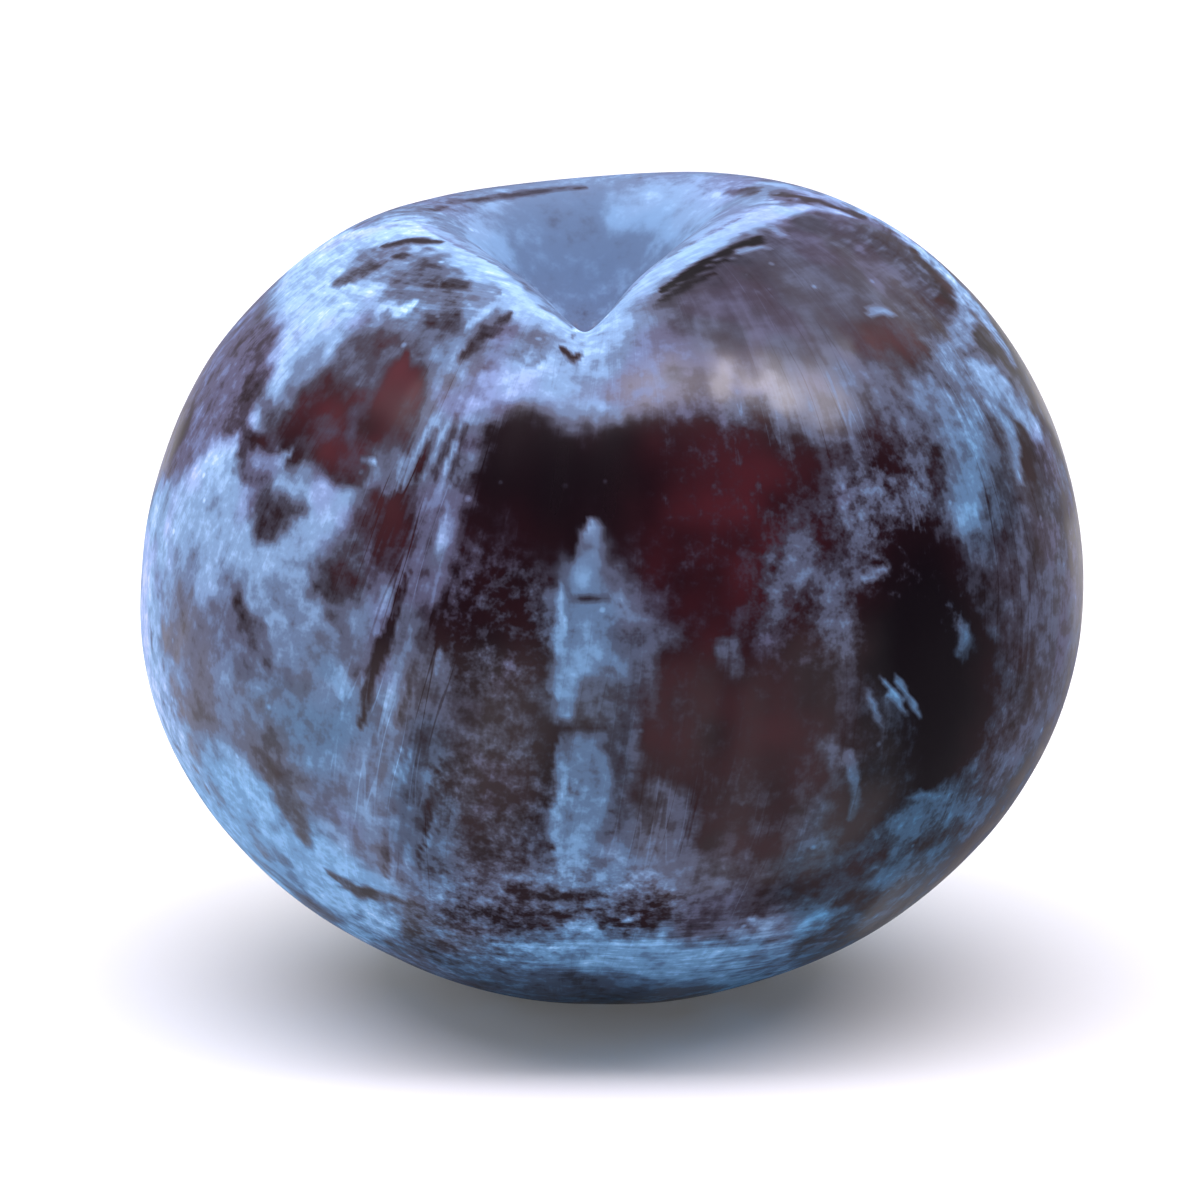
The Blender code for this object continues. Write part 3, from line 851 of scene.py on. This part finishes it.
def scratches(tree, places, stretch, start, width, kept):
    """Thin wandering lines, 1 on a line and 0 off it, kept in places.

    A line lies where a stretched pattern is within a width of its middle level.
    """
    level = figure(tree, "SUBTRACT", grain(tree, places, stretch, 1.0, 0.5, start), 0.5)
    lines = spread(tree, figure(tree, "ABSOLUTE", level), width * 0.4, width, 1.0, 0.0)
    where = grain(tree, places, (0.16, 0.16, 0.09), 0.0, 0.5, start + 40.0)
    return figure(tree, "MULTIPLY", lines, spread(tree, where, kept, kept + 0.08))


def weighed(tree, pattern, amount):
    """How far a pattern lies from its middle level, times an amount."""
    return figure(tree, "MULTIPLY", figure(tree, "SUBTRACT", pattern, 0.5), amount)


def blend_colours(tree, share, first, second, kind="MIX"):
    """Mixes two colours, each a value or another node's output."""
    mixed = step(tree, "ShaderNodeMix", data_type="RGBA", blend_type=kind, clamp_factor=True)
    for socket, value in ((mixed.inputs[0], share), (mixed.inputs[6], first), (mixed.inputs[7], second)):
        if isinstance(value, bpy.types.NodeSocket):
            tree.links.new(value, socket)
        else:
            socket.default_value = value
    return mixed.outputs[2]


def colour_steps(tree, value, stops):
    """A colour for each value, eased between a few (value, colour) stops."""
    ramp = step(tree, "ShaderNodeValToRGB", {"Fac": value})
    ramp.color_ramp.interpolation = "EASE"
    steps = ramp.color_ramp.elements
    for place, _ in stops[2:]:
        steps.new(place)
    for element, (place, colour) in zip(steps, sorted(stops)):
        element.position = place
        element.color = (*colour, 1.0)
    return ramp.outputs["Color"]


skin_finish = bpy.data.materials.new("waxed_plum_skin")
skin_finish.use_nodes = True
tree = skin_finish.node_tree
shader = tree.nodes["Principled BSDF"]

# Places on the skin in millimetres, on the body and on the strokes' drum, and the values laid on its points
here = step(tree, "ShaderNodeTexCoord").outputs["Object"]
in_mm = step(tree, "ShaderNodeVectorMath", {0: here, 1: (1.0 / MM,) * 3}, operation="MULTIPLY")
body_places = in_mm.outputs[0]
drum_places = step(tree, "ShaderNodeAttribute", attribute_name="strokes").outputs["Vector"]
laid = {
    name: step(tree, "ShaderNodeAttribute", attribute_name=name).outputs["Fac"]
    for name in ("wax", "flush", "polished", "brushed", "swept", "flecked", "tint", "cork")
}

# Fine marks: hair strokes up the fruit and round it, crumbs of wax, and thin dark and pale scratches
hairs = grain(tree, drum_places, (1.3, 1.3, 0.16), detail=2.5, roughness=0.6)
round_hairs = grain(tree, drum_places, (0.16, 0.16, 1.4), detail=2.5, roughness=0.6, start=17.0)
crumbs = grain(tree, body_places, (1.2, 1.2, 1.2), detail=2.5, roughness=0.7)
cuts = scratches(tree, drum_places, (0.7, 0.7, 0.05), start=11.0, width=0.022, kept=0.52)
threads = scratches(tree, drum_places, (0.8, 0.8, 0.07), start=31.0, width=0.022, kept=0.50)

# Lenticels, the pale breathing dots in the skin: some of the cells of a net of cells have one
dots = step(tree, "ShaderNodeTexVoronoi", {"Vector": body_places, "Scale": 0.42})
dot = spread(tree, dots.outputs["Distance"], 0.05, 0.13, 1.0, 0.0)
kept = step(tree, "ShaderNodeSeparateXYZ", {0: dots.outputs["Color"]}).outputs["X"]
lenticels = figure(tree, "MULTIPLY", dot, spread(tree, kept, 0.5, 0.9))

# The wax that covers each place: what is laid there, with what the fine marks add or take away
changes = (
    (lenticels, 0.26),
    (weighed(tree, hairs, 1.7), laid["brushed"]),
    (weighed(tree, round_hairs, 1.9), laid["swept"]),
    (weighed(tree, crumbs, 1.9), laid["flecked"]),
    (cuts, figure(tree, "MULTIPLY", laid["brushed"], -0.6)),
    (threads, figure(tree, "MULTIPLY", laid["brushed"], 0.5)),
)
cover = laid["wax"]
for pattern, amount in changes:
    cover = figure(tree, "ADD", cover, figure(tree, "MULTIPLY", pattern, amount))

bare_skin = blend_colours(tree, laid["flush"], DARK_SKIN, RED_SKIN)
tint_colour = colour_steps(tree, laid["tint"], TINTS)
wax_colour = blend_colours(tree, 1.0, colour_steps(tree, cover, WAX_COLOURS), tint_colour, "MULTIPLY")
skin_colour = blend_colours(tree, spread(tree, cover, -0.02, 0.36, smooth=True), bare_skin, wax_colour)
skin_colour = blend_colours(tree, laid["cork"], skin_colour, colour_steps(tree, crumbs, CORK_COLOURS))
tree.links.new(skin_colour, shader.inputs["Base Color"])

# Whole wax is dull, and the rubbed skin that shows through thin wax has a gloss
tree.links.new(spread(tree, cover, 0.10, 0.70, 0.35, 0.80), shader.inputs["Roughness"])
rubbed = figure(tree, "SUBTRACT", laid["polished"], laid["cork"])
gloss = figure(tree, "MULTIPLY", rubbed, spread(tree, cover, 0.40, 0.75, 1.0, 0.0))
tree.links.new(gloss, shader.inputs["Coat Weight"])
shader.inputs["Coat Roughness"].default_value = 0.21
shader.inputs["Coat IOR"].default_value = 1.55
shader.inputs["IOR"].default_value = 1.30
shader.inputs["Specular IOR Level"].default_value = 0.06

# The wax stands up by its own thickness, which the hair strokes comb
combed = figure(tree, "MULTIPLY", hairs, figure(tree, "ADD", laid["brushed"], 0.05))
thickness = figure(tree, "ADD", laid["wax"], combed)
relief = step(tree, "ShaderNodeBump", {"Height": thickness, "Strength": 0.6, "Distance": WAX_THICKNESS})
tree.links.new(relief.outputs["Normal"], shader.inputs["Normal"])
skin_mesh.materials.append(skin_finish)

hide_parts("plum")
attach(skin, "root")

# The floor
# A pale, level, matte sheet that the fruit stands on. It glows a little, so that its far part stays pale
# where less light falls. It is part of the setting and not of the fruit.

REACH = 4.0

floor_mesh = bpy.data.meshes.new("floor")
corners = [(-REACH, -REACH, 0), (REACH, -REACH, 0), (REACH, REACH, 0), (-REACH, REACH, 0)]
floor_mesh.from_pydata(corners, [], [(0, 1, 2, 3)])
floor = bpy.data.objects.new("floor", floor_mesh)
bpy.context.scene.collection.objects.link(floor)

floor_finish = bpy.data.materials.new("pale_floor")
floor_finish.use_nodes = True
matte = floor_finish.node_tree.nodes["Principled BSDF"].inputs
matte["Base Color"].default_value = (0.80, 0.80, 0.80, 1.0)
matte["Roughness"].default_value = 1.0
matte["Specular IOR Level"].default_value = 0.0
matte["Emission Color"].default_value = (0.97, 0.98, 1.0, 1.0)
matte["Emission Strength"].default_value = 0.08
floor_mesh.materials.append(floor_finish)

# The light
# A broad soft light hangs over and behind the fruit, and its front edge is right above it. A brighter strip
# lies along that edge, a fainter broad light stands on the left, and the room behind is pale.

ROOM_COLOUR = (0.95, 0.98, 1.0, 1.0)
ROOM_IN_FRONT = 0.04
ROOM_BEHIND = 0.6
ROOM_AS_SEEN = 0.95


def soft_light(name, at, towards, width, depth, radiance, colour):
    """A flat light of an even brightness: its power is the brightness times pi and its area."""
    light = bpy.data.lights.new(name, "AREA")
    light.shape = "RECTANGLE"
    light.size, light.size_y = width, depth
    light.energy = radiance * np.pi * width * depth
    light.color = colour
    lamp = bpy.data.objects.new(name, light)
    lamp.location = at
    lamp.rotation_euler = (Vector(towards) - Vector(at)).to_track_quat("-Z", "Y").to_euler()
    bpy.context.scene.collection.objects.link(lamp)


soft_light(
    "overhead", at=(0.0, 0.735, 0.9), towards=(0.0, 0.735, 0.0), width=2.4, depth=1.51,
    radiance=0.9, colour=(0.97, 0.96, 1.0),
)
soft_light(
    "front_strip", at=(0.05, -0.18, 0.88), towards=(0.05, -0.18, 0.0), width=1.9, depth=0.32,
    radiance=8.6, colour=(0.95, 0.90, 1.0),
)
soft_light(
    "left", at=(-1.3, -0.3, 0.5), towards=(0.0, 0.0, 0.03), width=1.0, depth=1.0,
    radiance=1.0, colour=(0.93, 0.98, 1.0),
)

# The room brightens from its front, where the camera is, to behind the fruit. The camera sees it paler still.
world = bpy.data.worlds.new("studio")
bpy.context.scene.world = world
world.use_nodes = True
room = world.node_tree
direction = step(room, "ShaderNodeSeparateXYZ", {0: step(room, "ShaderNodeTexCoord").outputs["Generated"]})
behind = spread(room, direction.outputs["Y"], -0.1, 0.6, ROOM_IN_FRONT, ROOM_BEHIND)
seen = step(room, "ShaderNodeLightPath").outputs["Is Camera Ray"]
brightness = figure(room, "MAXIMUM", behind, figure(room, "MULTIPLY", seen, ROOM_AS_SEEN))
room.links.new(brightness, room.nodes["Background"].inputs["Strength"])
room.nodes["Background"].inputs["Color"].default_value = ROOM_COLOUR

# The view
# The camera looks straight at the suture from a little above, from about half a metre away, which is where
# the marks' eye is. The fruit fills most of the picture's width.

CAMERA_DISTANCE = EYE_DISTANCE * MM
VIEW_WIDTH = 87.8 * MM
AIM = np.array([-0.8, 0.0, 28.4]) * MM
SENSOR = 36.0

camera = bpy.data.cameras.new("camera")
camera.sensor_width = SENSOR
camera.lens = SENSOR * CAMERA_DISTANCE / VIEW_WIDTH
camera.clip_start = 10.0 * MM
stand = bpy.data.objects.new("camera", camera)
stand.location = AIM + CAMERA_DISTANCE * np.array([0.0, -np.cos(EYE_RISE), np.sin(EYE_RISE)])
stand.rotation_euler = (np.pi / 2.0 - EYE_RISE, 0.0, 0.0)
bpy.context.scene.collection.objects.link(stand)
bpy.context.scene.camera = stand
bpy.context.scene.view_settings.view_transform = "Standard"
